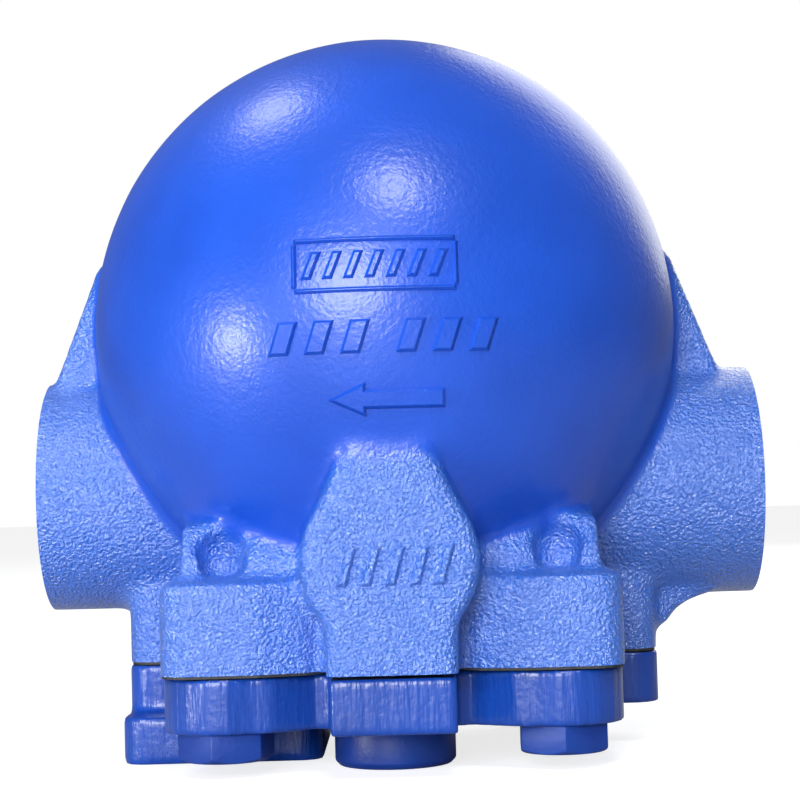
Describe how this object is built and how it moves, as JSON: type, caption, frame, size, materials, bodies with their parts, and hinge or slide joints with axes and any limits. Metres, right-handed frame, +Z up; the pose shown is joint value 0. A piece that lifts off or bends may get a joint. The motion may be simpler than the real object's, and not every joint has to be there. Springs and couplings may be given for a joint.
{
  "type": "steam trap",
  "caption": "Ball float steam trap with a domed cast body, two in-line screwed ports and a bolted cover that carries the float lever, main valve and air vent.",
  "frame": {"origin": "middle of the underside: midway between the port faces, in the dome's mid plane, on the plane that the plug, the cover's hump and the boss under the vent stand on", "axes": "+X along the pipe line and out of the inlet, +Z up through the float dome, -Y towards the round undrilled drain boss"},
  "size_m": [0.145, 0.118, 0.1444],
  "materials": {
    "painted_iron": "ductile iron casting under gloss blue enamel",
    "painted_steel": "steel bolts under the same gloss blue enamel",
    "painted_plug": "turned steel plug under gloss blue enamel",
    "graphite_gasket": "dark grey laminated graphite sheet",
    "soft_steel_washer": "thin flat sealing washers, dull",
    "stainless": "pressed and turned stainless steel",
    "hard_stainless": "hardened stainless valve parts, pins and screws"
  },
  "bodies": {
    "housing": {"body": "painted_iron", "cover": "painted_iron", "cover_gasket": "graphite_gasket", "cover_bolts": "painted_steel", "valve_plug": "painted_plug", "plug_washer": "soft_steel_washer", "valve_seat": "stainless", "seat_gasket": "soft_steel_washer", "erosion_sleeve": "stainless", "pivot_frame": "stainless", "frame_screws": "hard_stainless", "pivot_pin": "hard_stainless", "pin_clips": "hard_stainless", "vent_seat": "stainless", "vent_gasket": "soft_steel_washer", "vent_cage": "stainless", "cage_screws": "hard_stainless", "vent_lower_disc": "stainless", "vent_upper_disc": "stainless", "capsule_fill_plug": "hard_stainless", "vent_clip": "hard_stainless"},
    "float_arm": {"float_lever": "stainless", "valve_head": "hard_stainless", "head_rivet": "hard_stainless", "float_lower_shell": "stainless", "float_upper_shell": "stainless", "float_weld": "stainless", "float_boss": "stainless", "float_screw": "hard_stainless"},
    "vent_stem": {"vent_valve": "hard_stainless"}
  },
  "joints": [
    {"name": "float_swing", "type": "hinge", "parent": "housing", "child": "float_arm", "pos_m": [-0.0023, -0.012, 0.0336], "axis": [-1, 0, 0], "range_deg": [0, 20]},
    {"name": "vent_stroke", "type": "slide", "parent": "housing", "child": "vent_stem", "axis": [0, 0, -1], "range_m": [0, 0.0008], "stiffness_N_per_m": 400}
  ]
}
